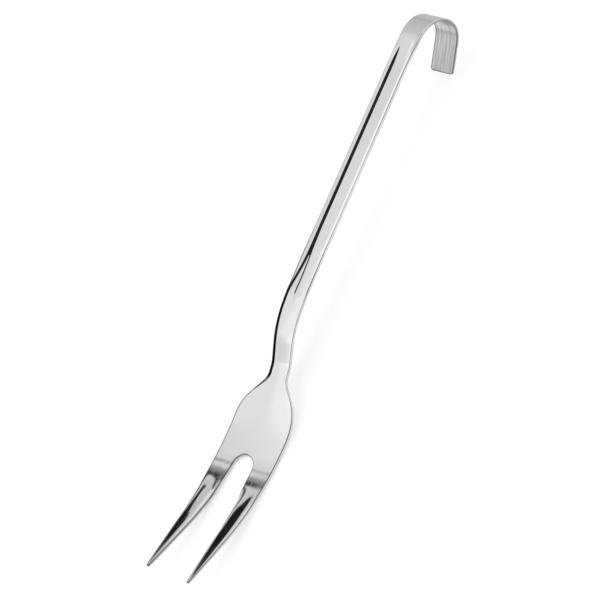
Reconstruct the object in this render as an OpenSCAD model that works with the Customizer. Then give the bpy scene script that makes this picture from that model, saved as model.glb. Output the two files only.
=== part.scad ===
// Serving fork pressed from one strip of stainless sheet: a hook, a channelled handle, a cranked neck,
// a dished blade and two crowned tines. Millimetres, lying face up as it rests on a table.
//
// Every piece is cut from one surface. The middle of its front follows a side profile of straight runs
// and bends, measured along the strip from the tine tips, and each section across it is worked out there.

/* [Side profile] */
// Straight run at the tine tips
tine_run = 33; // [25:0.5:45]
// How far the tine tips point up from the handle's line, degrees
tip_rise = 21; // [15:0.1:26]
// Radius of the sweep that runs through the tines and the blade
sweep_r = 171; // [150:1:190]
// Slope of the blade where it meets the heel, degrees
blade_slope = 13; // [10:0.1:16]
// Radius of the heel, where the blade turns up into the neck
heel_r = 16.5; // [12:0.5:26]
// Slope of the neck, degrees
neck_slope = 28; // [24:0.1:32]
// Straight length of the neck
neck_run = 9.5; // [6:0.1:14]
// Radius of the bend from the neck into the handle
neck_r = 58; // [46:1:70]
// Straight length of the handle
handle_len = 161.2; // [140:0.2:190]
// Radius of the hook's first quarter turn
hook_r1 = 19.7; // [16:0.1:24]
// Turn of the hook's first part, degrees
hook_turn1 = 90; // [85:1:95]
// Radius of the rest of the hook
hook_r2 = 11.7; // [9:0.1:15]
// Whole turn of the hook, degrees
hook_turn = 155; // [140:1:165]
// Straight length at the hook's cut end
leg_len = 19.4; // [14:0.2:26]

/* [Outline] */
// Distance between the middles of the two tine tips
tip_spread = 31.2; // [27:0.2:35]
// Width of one tine at its tip, before the tip is rounded
tip_width = 1.9; // [1.4:0.1:2.6]
// How far the outer edge of a tine bows out from a straight line
outer_bow = 1.2; // [0:0.1:1.8]
// How far the inner edge of a tine bows in towards the slot
inner_bow = 0.6; // [0:0.1:1.5]
// Width of the slot where its round end begins
slot_width = 14; // [12:0.2:17]
// Length of the slot from the tine tips
slot_len = 82.2; // [74:0.2:86]
// Length of the slot's round end
slot_arch = 7; // [6:0.1:10]
// Width of the blade at its widest
blade_width = 42.4; // [38:0.2:46]
// Distance from the tine tips to the widest place
widest_at = 94.2; // [89:0.2:99]
// Length of the shoulder, from the widest place to the neck
shoulder_len = 36.4; // [30:0.2:44]
// How late the shoulder draws in: 1 is an even curve
shoulder_lag = 1.8; // [1:0.1:2.2]
// Width of the neck
neck_width = 13.5; // [11.5:0.1:15]
// Length over which the neck widens into the handle
neck_flare = 45; // [30:0.5:52]
// Width of the handle beside the neck
handle_width = 14.8; // [14:0.1:17]
// Width of the handle at the hook
hook_width = 13.5; // [13.2:0.1:16]
// Width at the hook's cut end
leg_width = 13.8; // [13.2:0.1:16]
// Radius of the two corners at the cut end
corner_r = 2; // [1:0.1:3]

/* [Sections] */
// Thickness of the sheet
sheet = 1.8; // [1.5:0.1:2.2]
// Thickness at the tine tips
tip_sheet = 1.3; // [1:0.1:1.6]
// Width of the flat floor of the handle's channel
floor_width = 6.8; // [5.5:0.1:8]
// Depth of the channel
channel_depth = 1.3; // [0.9:0.1:1.6]
// Slope of the channel's walls, degrees
wall_slope = 50; // [40:1:58]
// Slope of the margins outside the channel, degrees
margin_slope = 15; // [8:1:20]
// Half length of the rounding at the channel's corners
fold_r = 0.4; // [0.25:0.05:0.6]
// Rise of the blade's edges above its middle beside the slot's end
dish_depth = 0.2; // [0:0.1:1]
// The same on the shoulder, where the dish is deepest
shoulder_dish = 1.2; // [0.6:0.1:2]
// Rise of the neck's edges above its middle
neck_dish = 0.4; // [0.2:0.1:0.8]
// How far the rounded sides of a tine drop below its flat middle
tine_crown = 0.9; // [0.5:0.1:1.4]
// How far each tine is tilted, its outer side up, degrees
tine_cant = 4; // [0:0.5:7]

/* [Hidden] */
steel = "silver";

// Points from the middle to the edge of half a section
columns = 8;
// How far the channel's floor reaches into the neck
floor_lead = 5;
// Length over which the floor and its walls grow to the handle's section
floor_fade = 48;
// Where along it the floor starts to widen, and where its two walls start to meet
floor_widen = 12;
wall_meet = 24;
// Length at the blade end of the floor over which its width closes
floor_nose = 5;
// Share of the floor's width that its round end has
nose_share = 0.55;
// Length over which the margins grow beside the channel
margin_fade = 30;
// Length over which the low wall grows from the floor's end
low_fade = 9;
// Where the walls of the neck start and are full, measured back from the end of the shoulder
rim_start = 18;
rim_full = 2;
// Distance over which the crown of a tine grows from the slot's end, and how flat the crown's middle is
crown_fade = 26;
crown_power = 4;
// Share of the slot's round end at which the tines are cut from the blade
arch_cut = 0.86;
// Distance from the channel's wall to the column on the margin, and the least share between two columns
margin_step = 1.2;
column_gap = 0.02;

// Each run along the strip from the tine tips to the hook's cut end, as [length, turn in degrees]
function bend(r, turn) = [r * abs(turn) * PI / 180, turn];
runs = [
    [tine_run, 0],
    bend(sweep_r, blade_slope + tip_rise),
    bend(heel_r, neck_slope - blade_slope),
    [neck_run, 0],
    bend(neck_r, -neck_slope),
    [handle_len, 0],
    bend(hook_r1, -hook_turn1),
    bend(hook_r2, hook_turn1 - hook_turn),
    [leg_len, 0]
];
marks = [for (i = 0, t = 0; i <= len(runs); t = t + (i < len(runs) ? runs[i][0] : 0), i = i + 1) t];

// Pose on the side profile as [x, z, heading], after going a distance along one run
function go(pose, run, d) =
    run[1] == 0
    ? [pose[0] + d * cos(pose[2]), pose[1] + d * sin(pose[2]), pose[2]]
    : let (a = run[1] * d / run[0], r = run[0] * 180 / PI / run[1])
      [pose[0] + r * (sin(pose[2] + a) - sin(pose[2])),
       pose[1] - r * (cos(pose[2] + a) - cos(pose[2])),
       pose[2] + a];
starts = [for (i = 0, p = [0, 0, -tip_rise]; i < len(runs); p = go(p, runs[i], runs[i][0]), i = i + 1) p];
function pose_at(t) =
    let (i = max([0, for (k = [1 : len(runs) - 1]) if (marks[k] <= t) k]))
    go(starts[i], runs[i], t - marks[i]);

// Places along the strip
slot_straight = slot_len - slot_arch;
tine_end = slot_straight + slot_arch * arch_cut;
shoulder_end = widest_at + shoulder_len;
neck_top = shoulder_end + neck_flare;
neck_end = marks[5];
hook_start = marks[6];
leg_start = marks[8];
strip_end = marks[9];
floor_start = neck_end - floor_lead;
floor_full = floor_start + floor_fade;
dish_peak = widest_at + shoulder_len / 2;

function clamp(u) = min(1, max(0, u));
function ease(t, a, b) = (1 - cos(180 * clamp((t - a) / (b - a)))) / 2;
function mix(a, b, u) = a + (b - a) * u;

// Half width of the outline
function tine_outer(t) =
    let (u = t / widest_at)
    mix((tip_spread + tip_width) / 2, blade_width / 2, u) + 4 * outer_bow * u * (1 - u);
function strip_half(t) =
    t < widest_at ? tine_outer(t)
    : t < shoulder_end
      ? mix(blade_width, neck_width, (1 - cos(180 * pow((t - widest_at) / shoulder_len, shoulder_lag))) / 2) / 2
    : t < neck_top ? mix(neck_width, handle_width, ease(t, shoulder_end, neck_top)) / 2
    : t < hook_start ? mix(handle_width, hook_width, (t - neck_top) / (hook_start - neck_top)) / 2
    : mix(hook_width, leg_width, (t - hook_start) / (strip_end - hook_start)) / 2;
// The same, with the corners of the cut end rounded
function corner_cut(left) = left > corner_r ? 0 : corner_r - sqrt(corner_r * corner_r - pow(corner_r - left, 2));
function outer_half(t) = strip_half(t) - corner_cut(strip_end - t);

// Half width of the slot, with its round end
function slot_half(t) =
    let (u = t / slot_straight, v = clamp((t - slot_straight) / slot_arch))
    t < slot_straight
    ? mix((tip_spread - tip_width) / 2, slot_width / 2, u) - 4 * inner_bow * u * (1 - u)
    : slot_width / 2 * sqrt(1 - v * v);

// Share of a tine's width left by the rounding of its tip
function tip_round(t) = t > tip_width / 2 ? 1 : sqrt(1 - pow(1 - t / tip_width * 2, 2));
function tine_mid(t) = (tine_outer(t) + slot_half(t)) / 2;
function tine_half(t) = (tine_outer(t) - slot_half(t)) / 2 * tip_round(t);

// The channel: a floor that ends in the neck, a low wall at its edge, and a high wall that runs out to
// the strip's edge in the neck and dies away on the shoulder
wall_run = channel_depth / tan(wall_slope);
function floor_half(t) =
    floor_width / 2 * sqrt(clamp((t - floor_start) / floor_nose))
    * mix(nose_share, 1, ease(t, floor_start + floor_widen, floor_full));
function low_run(t) = wall_run / 2 * ease(t, floor_start, floor_start + low_fade);
function high_run(t) =
    wall_run * (1 - ease(t, floor_start, floor_start + low_fade) / 2)
    * ease(t, shoulder_end - rim_start, shoulder_end - rim_full);
function margin_run(t) =
    (strip_half(neck_end) - floor_width / 2 - wall_run) * ease(t, floor_start, floor_start + margin_fade);
function wall_foot(t) =
    mix(strip_half(t) - margin_run(t) - high_run(t), floor_half(t) + low_run(t),
        ease(t, floor_start + wall_meet, floor_full));

// A ramp of slope 1 whose corner is rounded
function ramp(x) = x < -fold_r ? 0 : x > fold_r ? x : pow(x + fold_r, 2) / (4 * fold_r);
function channel(t, x) =
    tan(wall_slope) * (ramp(x - floor_half(t)) - ramp(x - floor_half(t) - low_run(t))
                       + ramp(x - wall_foot(t)) - ramp(x - wall_foot(t) - high_run(t)))
    + tan(margin_slope) * ease(t, floor_start, floor_full) * ramp(x - wall_foot(t) - high_run(t));
// Sheet bent round a corner is wider behind it, so the channel seen from behind is wider by this much
function back_shift(t) = sheet * tan(wall_slope / 2) * ease(t, floor_start, floor_full);

function dish(t) =
    t < dish_peak ? mix(dish_depth, shoulder_dish, ease(t, widest_at, dish_peak))
    : t < shoulder_end ? mix(shoulder_dish, neck_dish, ease(t, dish_peak, shoulder_end))
    : neck_dish * (1 - ease(t, shoulder_end, floor_full));
function body_rise(t, x) = dish(t) * pow(x / strip_half(t), 2);
function crown_share(t) = ease(t, slot_len, slot_len - crown_fade);
function tine_rise(t, x) =
    let (c = x - tine_mid(t))
    mix(body_rise(t, x),
        body_rise(t, tine_mid(t)) + tan(tine_cant) * c
        - tine_crown * tine_half(t) / tine_half(slot_straight) * pow(c / tine_half(t), crown_power),
        crown_share(t));
function thickness(t) = mix(tip_sheet, sheet, clamp(t / slot_straight));

// Lie of the fork: the line from the hook's cut end that touches the back of the sweep is level
foot = let (p = pose_at(strip_end), d = channel(strip_end, leg_width / 2))
    [p[0] - d * sin(p[2]), p[1] + d * cos(p[2])];
sweep_mid = let (p = starts[1]) [p[0] - sweep_r * sin(p[2]), p[1] + sweep_r * cos(p[2])];
to_foot = foot - sweep_mid;
level = -atan2(to_foot[1], to_foot[0]) - asin((sweep_r + sheet) / norm(to_foot));

// A point at a distance along the strip, x across it and d in front of it
function raw(t, x, d) =
    let (p = pose_at(t), h = p[2] + level)
    [p[0] * cos(level) - p[1] * sin(level) - d * sin(h), -x, p[0] * sin(level) + p[1] * cos(level) + d * cos(h)];

// Stations along each piece
function steps(a, b, n) = [for (i = [0 : n]) mix(a, b, i / n)];
tine_stations = concat(
    [for (a = [20 : 14 : 76]) tip_width / 2 * (1 - cos(a))],
    steps(tip_width / 2, slot_straight, 20),
    [for (a = [15 : 15 : 45]) slot_straight + slot_arch * sin(a)],
    [tine_end]);
blade_stations = concat(
    [for (a = [asin(arch_cut), 65, 72, 78, 84, 90]) slot_straight + slot_arch * sin(a)],
    [for (t = steps(slot_len, shoulder_end, 20)) if (t > slot_len) t]);
neck_stations = steps(shoulder_end, neck_end, 14);
handle_stations = concat(steps(neck_end, floor_full, 12), steps(floor_full, hook_start, 6));
bend_stations = concat(steps(hook_start, marks[7], 12), steps(marks[7], leg_start, 10));
leg_stations = concat(
    steps(leg_start, strip_end - corner_r, 2),
    [for (a = [70, 50, 30, 15, 0]) strip_end - corner_r * (1 - cos(a))]);

// Columns across half a strip: even on the blade, drawn to the channel's corners on the handle
function column(t, j) =
    let (w = outer_half(t), f = floor_half(t), g = wall_foot(t), h = high_run(t),
         at = [0, f / 2, f - fold_r, f + fold_r, g, g + h - fold_r / 2, g + h + fold_r, g + h + margin_step, w])
    mix(w * j / columns, min(at[j], w * (1 - column_gap * (columns - j))), ease(t, neck_end, floor_full));

function front_d(t, x) = body_rise(t, abs(x)) + channel(t, abs(x));
function back_d(t, x) = body_rise(t, abs(x)) + channel(t, max(0, abs(x) - back_shift(t))) - thickness(t);
function strip_ring(t) =
    let (xs = [for (j = [-columns : columns]) sign(j) * column(t, abs(j))], n = 2 * columns)
    concat([for (x = xs) raw(t, x, front_d(t, x))], [for (k = [n : -1 : 0]) raw(t, xs[k], back_d(t, xs[k]))]);
// Half a blade, from the slot or the middle line to the edge
function blade_ring(t) =
    let (a = t < slot_len ? slot_half(t) : 0, xs = [for (j = [0 : columns]) mix(a, strip_half(t), j / columns)])
    concat([for (x = xs) raw(t, x, front_d(t, x))], [for (k = [columns : -1 : 0]) raw(t, xs[k], back_d(t, xs[k]))]);
function tine_ring(t) =
    let (xs = [for (j = [0 : columns]) tine_mid(t) + tine_half(t) * (2 * j / columns - 1)])
    concat([for (x = xs) raw(t, x, tine_rise(t, x))],
           [for (k = [columns : -1 : 0]) raw(t, xs[k], tine_rise(t, xs[k]) - thickness(t))]);

tine_rings = [for (t = tine_stations) tine_ring(t)];
blade_rings = [for (t = blade_stations) blade_ring(t)];
neck_rings = [for (t = neck_stations) strip_ring(t)];
handle_rings = [for (t = handle_stations) strip_ring(t)];
bend_rings = [for (t = bend_stations) strip_ring(t)];
leg_rings = [for (t = leg_stations) strip_ring(t)];

// Origin: under the middle of the whole fork, on the table
all_points = [for (rings = [tine_rings, blade_rings, neck_rings, handle_rings, bend_rings, leg_rings])
    for (ring = rings) for (p = ring) p];
x_low = min([for (p = all_points) p[0]]);
x_high = max([for (p = all_points) p[0]]);
z_low = min([for (p = all_points) p[2]]);

// A closed solid through a row of rings
module loft(rings) {
    n = len(rings[0]);
    last = len(rings) - 1;
    translate([-(x_low + x_high) / 2, 0, -z_low])
        polyhedron(
            points = [for (ring = rings) for (p = ring) p],
            faces = concat(
                [[for (j = [0 : n - 1]) j]],
                [[for (j = [n - 1 : -1 : 0]) last * n + j]],
                [for (i = [0 : last - 1]) for (j = [0 : n - 1]) let (k = (j + 1) % n)
                    each [[i * n + j, (i + 1) * n + j, (i + 1) * n + k], [i * n + j, (i + 1) * n + k, i * n + k]]]),
            convexity = 10);
}

// The straight cut end of the hook
module hook_leg() {
    color(steel) loft(leg_rings);
}

// The bend that hangs over a rail
module hook_bend() {
    color(steel) loft(bend_rings);
}

// The straight grip, pressed into a channel
module handle() {
    color(steel) loft(handle_rings);
}

// The crank between the handle and the blade
module neck() {
    color(steel) loft(neck_rings);
}

// The dished shoulder up to the end of the slot, in two halves that share the middle line
module blade() {
    color(steel) union() {
        loft(blade_rings);
        mirror([0, 1, 0]) loft(blade_rings);
    }
}

// The tine on the left, seen from above with the hook at the top
module tine_left() {
    color(steel) mirror([0, 1, 0]) loft(tine_rings);
}

// The tine on the right, seen the same way
module tine_right() {
    color(steel) loft(tine_rings);
}

hook_leg();
hook_bend();
handle();
neck();
blade();
tine_left();
tine_right();
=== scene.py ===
"""Serving fork pressed from one strip of stainless sheet and mirror polished.

The fork is modelled the way it is made. A flat blank is laid out with one row of points for every
station along the strip, each point is pressed to its place on the side profile and the cross-section,
the half is mirrored, and the finished pressing is cut into its named stretches at the CAD's own
stations. Lengths in the classes are millimetres along or across the strip; meshes are in metres.
"""

import logging
import math
from dataclasses import dataclass, field
from enum import Enum

import bpy
import numpy as np
from mathutils import Matrix, Vector


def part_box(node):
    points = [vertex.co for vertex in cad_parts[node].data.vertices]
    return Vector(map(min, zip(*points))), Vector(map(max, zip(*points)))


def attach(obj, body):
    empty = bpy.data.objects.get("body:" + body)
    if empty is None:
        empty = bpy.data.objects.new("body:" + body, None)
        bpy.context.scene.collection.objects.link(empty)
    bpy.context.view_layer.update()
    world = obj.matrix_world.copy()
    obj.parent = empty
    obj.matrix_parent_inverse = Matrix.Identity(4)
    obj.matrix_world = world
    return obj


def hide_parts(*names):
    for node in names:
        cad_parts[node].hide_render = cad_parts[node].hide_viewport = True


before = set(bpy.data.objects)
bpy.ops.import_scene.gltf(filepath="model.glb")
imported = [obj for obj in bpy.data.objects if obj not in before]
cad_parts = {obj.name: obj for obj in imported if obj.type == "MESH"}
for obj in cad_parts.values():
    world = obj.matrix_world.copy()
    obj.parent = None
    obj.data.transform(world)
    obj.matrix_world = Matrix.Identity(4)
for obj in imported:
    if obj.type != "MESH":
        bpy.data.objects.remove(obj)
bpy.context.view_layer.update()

MM = 0.001
BODY = "root"
STRIP_PLACE = "strip_place"
Array = np.ndarray
Colour = tuple[float, float, float, float]
PURE_WHITE: Colour = (1.0, 1.0, 1.0, 1.0)

log = logging.getLogger("serving_fork")


def ease(t: Array, start: float, end: float) -> Array:
    """Rises from 0 at start to 1 at end along half a cosine."""
    share = np.clip((np.asarray(t, float) - start) / (end - start), 0.0, 1.0)
    return (1.0 - np.cos(math.pi * share)) / 2.0


def mix(low: Array, high: Array, share: Array) -> Array:
    """Goes from low to high as share goes from 0 to 1."""
    return low + (high - low) * share


class Stretch(Enum):
    """The named stretches of the strip, from the tine tips to the cut end of the hook."""

    TINES = 0
    BLADE = 1
    NECK = 2
    HANDLE = 3
    HOOK_BEND = 4
    HOOK_LEG = 5


@dataclass
class SideProfile:
    """The strip's side profile: straight runs and bends, from the tine tips to the hook's cut end."""

    tine_run: float = 33.0
    tip_rise: float = math.radians(21.0)
    sweep_r: float = 171.0
    blade_slope: float = math.radians(13.0)
    heel_r: float = 16.5
    neck_slope: float = math.radians(28.0)
    neck_run: float = 9.5
    neck_r: float = 58.0
    handle_len: float = 161.2
    hook_r1: float = 19.7
    hook_turn1: float = math.radians(90.0)
    hook_r2: float = 11.7
    hook_turn: float = math.radians(155.0)
    leg_len: float = 19.4

    def runs(self) -> list[tuple[float, float]]:
        """Lists the runs in order.

        Returns:
            One (length, turn in radians) pair for each run.
        """
        bends = [
            (self.sweep_r, self.blade_slope + self.tip_rise),
            (self.heel_r, self.neck_slope - self.blade_slope),
            (self.neck_r, -self.neck_slope),
            (self.hook_r1, -self.hook_turn1),
            (self.hook_r2, self.hook_turn1 - self.hook_turn),
        ]
        sweep, heel, crank, hook_top, hook_end = [(radius * abs(turn), turn) for radius, turn in bends]
        return [
            (self.tine_run, 0.0),
            sweep,
            heel,
            (self.neck_run, 0.0),
            crank,
            (self.handle_len, 0.0),
            hook_top,
            hook_end,
            (self.leg_len, 0.0),
        ]

    def marks(self) -> list[float]:
        """Distances along the strip at which each run starts, and the whole length."""
        return [0.0, *np.cumsum([length for length, _ in self.runs()]).tolist()]

    def pose(self, t: Array) -> tuple[Array, Array, Array]:
        """Works out where the strip is.

        Args:
            t: Distances along the strip.

        Returns:
            The x, the z and the heading at each distance, before the fork is laid level.
        """
        t = np.asarray(t, float)
        x, z, heading = np.zeros_like(t), np.zeros_like(t), np.zeros_like(t)
        at_x, at_z, at_heading = 0.0, 0.0, -self.tip_rise
        runs, marks = self.runs(), self.marks()
        for index, (length, turn) in enumerate(runs):
            last = index == len(runs) - 1
            here = (t >= marks[index]) & ((t < marks[index + 1]) | last)
            step = t[here] - marks[index]
            x[here], z[here], heading[here] = self.along(at_x, at_z, at_heading, length, turn, step)
            at_x, at_z, at_heading = self.along(at_x, at_z, at_heading, length, turn, length)
        return x, z, heading

    @staticmethod
    def along(x: float, z: float, heading: float, length: float, turn: float, step: Array) -> tuple:
        """Follows one run.

        Args:
            x: Where the run starts, along the fork.
            z: Where the run starts, in height.
            heading: The heading at its start.
            length: Its length.
            turn: How far it turns over that length.
            step: Distances gone along it.

        Returns:
            The x, the z and the heading there.
        """
        if turn == 0.0:
            return x + step * math.cos(heading), z + step * math.sin(heading), heading + 0.0 * step
        curve = turn / length
        there = heading + curve * step
        return (
            x + (np.sin(there) - math.sin(heading)) / curve,
            z - (np.cos(there) - math.cos(heading)) / curve,
            there,
        )


@dataclass
class Outline:
    """The blank's outline and its slot, as half widths measured from the middle line."""

    tip_spread: float = 31.2
    tip_width: float = 1.9
    outer_bow: float = 1.2
    inner_bow: float = 0.6
    slot_width: float = 14.0
    slot_len: float = 82.2
    slot_arch: float = 7.0
    arch_cut: float = 0.86
    blade_width: float = 42.4
    widest_at: float = 94.2
    shoulder_len: float = 36.4
    shoulder_lag: float = 1.8
    neck_width: float = 13.5
    neck_flare: float = 45.0
    handle_width: float = 14.8
    grip_width: float = 13.9
    hook_width: float = 14.9
    leg_width: float = 16.6
    corner_r: float = 2.0

    @property
    def slot_straight(self) -> float:
        """Where the slot's round end begins."""
        return self.slot_len - self.slot_arch

    @property
    def tine_end(self) -> float:
        """Where the tines are cut from the blade."""
        return self.slot_straight + self.slot_arch * self.arch_cut

    @property
    def shoulder_end(self) -> float:
        """Where the blade is cut from the neck."""
        return self.widest_at + self.shoulder_len

    @property
    def neck_top(self) -> float:
        """Where the neck has widened to the handle."""
        return self.shoulder_end + self.neck_flare

    def tine_outer(self, t: Array) -> Array:
        """Half width to the outer edge of the tines.

        Args:
            t: Distances along the strip.

        Returns:
            The half width at each distance.
        """
        share = t / self.widest_at
        straight = mix((self.tip_spread + self.tip_width) / 2, self.blade_width / 2, share)
        return straight + 4 * self.outer_bow * share * (1 - share)

    def strip(self, t: Array, flat_from: float, flat_at: float, leg_start: float) -> Array:
        """Gives the half width of the strip, with its end still square.

        Args:
            t: Distances along the strip.
            flat_from: Where the channel starts to run out before the hook.
            flat_at: Where the strip is flat.
            leg_start: Where the strip is as wide as the blank was.

        Returns:
            The half width at each distance.
        """
        late = np.clip((t - self.widest_at) / self.shoulder_len, 0.0, 1.0) ** self.shoulder_lag
        shoulder = mix(self.blade_width, self.neck_width, (1 - np.cos(math.pi * late)) / 2) / 2
        neck = mix(self.neck_width, self.handle_width, ease(t, self.shoulder_end, self.neck_top)) / 2
        down = (t - self.neck_top) / (flat_from - self.neck_top)
        handle = mix(self.handle_width, self.grip_width, down) / 2
        wider = np.clip((t - flat_from) / (flat_at - flat_from), 0.0, 1.0)
        widest = np.clip((t - flat_at) / (leg_start - flat_at), 0.0, 1.0)
        hook = mix(mix(self.grip_width, self.hook_width, wider), self.leg_width, widest) / 2
        choices = [t < self.widest_at, t < self.shoulder_end, t < self.neck_top, t < flat_from]
        return np.select(choices, [self.tine_outer(t), shoulder, neck, handle], hook)

    def slot(self, t: Array) -> Array:
        """Half width of the slot.

        Args:
            t: Distances along the strip.

        Returns:
            The half width at each distance, which is 0 past the slot's round end.
        """
        share = np.minimum(t / self.slot_straight, 1.0)
        sides = mix((self.tip_spread - self.tip_width) / 2, self.slot_width / 2, share)
        sides = sides - 4 * self.inner_bow * share * (1 - share)
        into = np.clip((t - self.slot_straight) / self.slot_arch, 0.0, 1.0)
        return np.where(t < self.slot_straight, sides, self.slot_width / 2 * np.sqrt(1 - into * into))

    def tip_round(self, t: Array) -> Array:
        """Share of a tine's width left by the rounding of its tip."""
        short = np.clip(1 - t / self.tip_width * 2, 0.0, 1.0)
        return np.sqrt(1 - short * short)


@dataclass
class Section:
    """The cross-section: the channel of the handle, the dish of the blade and the crown of the tines."""

    sheet: float = 1.8
    tip_sheet: float = 1.3
    edge_r: float = 0.35
    floor_width: float = 6.8
    channel_depth: float = 1.3
    wall_slope: float = math.radians(50.0)
    margin_slope: float = math.radians(15.0)
    fold_r: float = 0.4
    dish_depth: float = 0.2
    shoulder_dish: float = 1.2
    neck_dish: float = 0.4
    tine_crown: float = 0.9
    tine_cant: float = math.radians(4.0)
    crown_power: int = 4
    crown_fade: float = 15.0
    crown_end: float = 65.0
    floor_lead: float = 5.0
    floor_fade: float = 48.0
    floor_widen: float = 12.0
    floor_nose: float = 5.0
    nose_share: float = 0.55
    wall_meet: float = 24.0
    low_fade: float = 9.0
    low_share: float = 0.42
    neck_extra: float = 0.24
    margin_fade: float = 30.0
    rim_start: float = 18.0
    rim_full: float = 2.0
    runout_lead: float = 20.0
    runout_past: float = 4.0
    lip_half: float = 6.9
    hook_rise: float = 1.0

    @property
    def wall_run(self) -> float:
        """Width of the whole wall, seen from above."""
        return self.channel_depth / math.tan(self.wall_slope)

    @property
    def lip_rise(self) -> float:
        """Height of the margins' edges above the floor, on which the fork rests at the hook's end."""
        margin = self.lip_half - self.floor_width / 2 - self.wall_run
        return self.channel_depth + math.tan(self.margin_slope) * margin

    def ramp(self, x: Array) -> Array:
        """A ramp of slope 1 that starts at 0, with its corner rounded."""
        rounded = (x + self.fold_r) ** 2 / (4 * self.fold_r)
        return np.select([x < -self.fold_r, x > self.fold_r], [0.0, x], rounded)


@dataclass
class Strip:
    """The pressed strip: one surface from the tine tips to the cut end of the hook."""

    profile: SideProfile = field(default_factory=SideProfile)
    outline: Outline = field(default_factory=Outline)
    section: Section = field(default_factory=Section)
    neck_end: float = field(init=False)
    hook_start: float = field(init=False)
    leg_start: float = field(init=False)
    end: float = field(init=False)
    floor_start: float = field(init=False)
    floor_full: float = field(init=False)
    flat_from: float = field(init=False)
    flat_at: float = field(init=False)
    level: float = field(init=False)
    offset: Vector = field(init=False)

    def __post_init__(self) -> None:
        """Marks the stations, lays the fork level and moves it to where the CAD nodes lie."""
        *_, self.neck_end, self.hook_start, _, self.leg_start, self.end = self.profile.marks()
        self.floor_start = self.neck_end - self.section.floor_lead
        self.floor_full = self.floor_start + self.section.floor_fade
        self.flat_from = self.hook_start - self.section.runout_lead
        self.flat_at = self.hook_start + self.section.runout_past
        self.level = self.resting_angle()
        self.offset = self.frame_offset()

    def resting_angle(self) -> float:
        """Works out how the fork lies on a table.

        Returns:
            The angle that lays it on the back of its sweep and the cut end of its hook.
        """
        profile = self.profile
        x, z, heading = (float(value[0]) for value in profile.pose(np.array([self.end])))
        lip = self.section.lip_rise
        foot = np.array([x - lip * math.sin(heading), z + lip * math.cos(heading)])
        x, z, heading = (float(value[0]) for value in profile.pose(np.array([profile.tine_run])))
        middle = np.array([x - profile.sweep_r * math.sin(heading), z + profile.sweep_r * math.cos(heading)])
        reach = foot - middle
        radius = profile.sweep_r + self.section.sheet
        return -math.atan2(reach[1], reach[0]) - math.asin(radius / float(np.hypot(*reach)))

    def frame_offset(self) -> Vector:
        """Works out where the fork lies in the part's frame.

        Returns:
            The shift in millimetres that brings the straight handle onto the CAD's handle.
        """
        t = np.array([self.neck_end, self.hook_start])[:, None] * np.ones((1, 2))
        x = np.concatenate([self.half(t[:, :1]), 0.0 * t[:, :1]], axis=1)
        corners = np.concatenate(
            [
                self.place(t, x, self.body_rise(t, x) + self.channel(t, x), shifted=False),
                self.place(t, x, self.back(t, x), shifted=False),
            ]
        ).reshape(-1, 3)
        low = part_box("handle")[0]
        return Vector((low[0] / MM - corners[:, 0].min(), 0.0, low[2] / MM - corners[:, 2].min()))

    def half(self, t: Array) -> Array:
        """Half width of the strip before its last corners are rounded."""
        return self.outline.strip(t, self.flat_from, self.flat_at, self.leg_start)

    def edges(self, t: Array) -> tuple[Array, Array]:
        """Gives both edges of the right half.

        Args:
            t: Distances along the strip.

        Returns:
            The inner edge, at the slot or the middle line, and the outer edge.
        """
        outline = self.outline
        outer, inner = self.half(t), outline.slot(t)
        left = np.clip(outline.corner_r - (self.end - t), 0.0, outline.corner_r)
        outer = outer - (outline.corner_r - np.sqrt(outline.corner_r**2 - left**2))
        middle, reach = (outer + inner) / 2, (outer - inner) / 2
        share = outline.tip_round(t)
        return middle - reach * share, middle + reach * share

    def floor_half(self, t: Array) -> Array:
        """Half width of the channel's floor, with its round end in the neck.

        Args:
            t: Distances along the strip.

        Returns:
            The half width at each distance.
        """
        section = self.section
        nose = np.sqrt(np.clip((t - self.floor_start) / section.floor_nose, 0.0, 1.0))
        wider = ease(t, self.floor_start + section.floor_widen, self.floor_full)
        return section.floor_width / 2 * nose * mix(section.nose_share, 1.0, wider)

    def grip(self, t: Array) -> Array:
        """Goes from 0 where the channel's floor ends to 1 where the handle's section is full."""
        return ease(t, self.floor_start, self.floor_full)

    def walls(self, t: Array) -> tuple[Array, Array, Array]:
        """Gives the walls of the channel.

        Args:
            t: Distances along the strip.

        Returns:
            The width of the low wall, and the foot and the width of the high one.
        """
        section, outline = self.section, self.outline
        risen = ease(t, self.floor_start, self.floor_start + section.low_fade)
        low = section.wall_run * section.low_share * risen
        rim = ease(t, outline.shoulder_end - section.rim_start, outline.shoulder_end - section.rim_full)
        met = ease(t, self.floor_start + section.wall_meet, self.floor_full)
        deeper = section.neck_extra * (1 - met)
        high = section.wall_run * (1 - (section.low_share - deeper) * risen) * rim
        widest = float(self.half(np.array([self.neck_end]))[0]) - section.floor_width / 2 - section.wall_run
        margin = widest * ease(t, self.floor_start, self.floor_start + section.margin_fade)
        foot = mix(self.half(t) - margin - high, self.floor_half(t) + low, met)
        return low, foot, high

    def channel(self, t: Array, x: Array) -> Array:
        """Height of the face above the floor's line, with the channel run out before the flat hook."""
        return mix(self.pressed(t, x), self.section.hook_rise, ease(t, self.flat_from, self.flat_at))

    def pressed(self, t: Array, x: Array) -> Array:
        """Height of the channel's walls and margins above its floor.

        Args:
            t: Distances along the strip.
            x: Distances from the middle line.

        Returns:
            The height at each point.
        """
        section = self.section
        floor = self.floor_half(t)
        low, foot, high = self.walls(t)
        ramp = section.ramp
        rise = ramp(x - floor) - ramp(x - floor - low) + ramp(x - foot) - ramp(x - foot - high)
        outside = math.tan(section.margin_slope) * self.grip(t) * ramp(x - foot - high)
        return math.tan(section.wall_slope) * rise + outside

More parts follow.
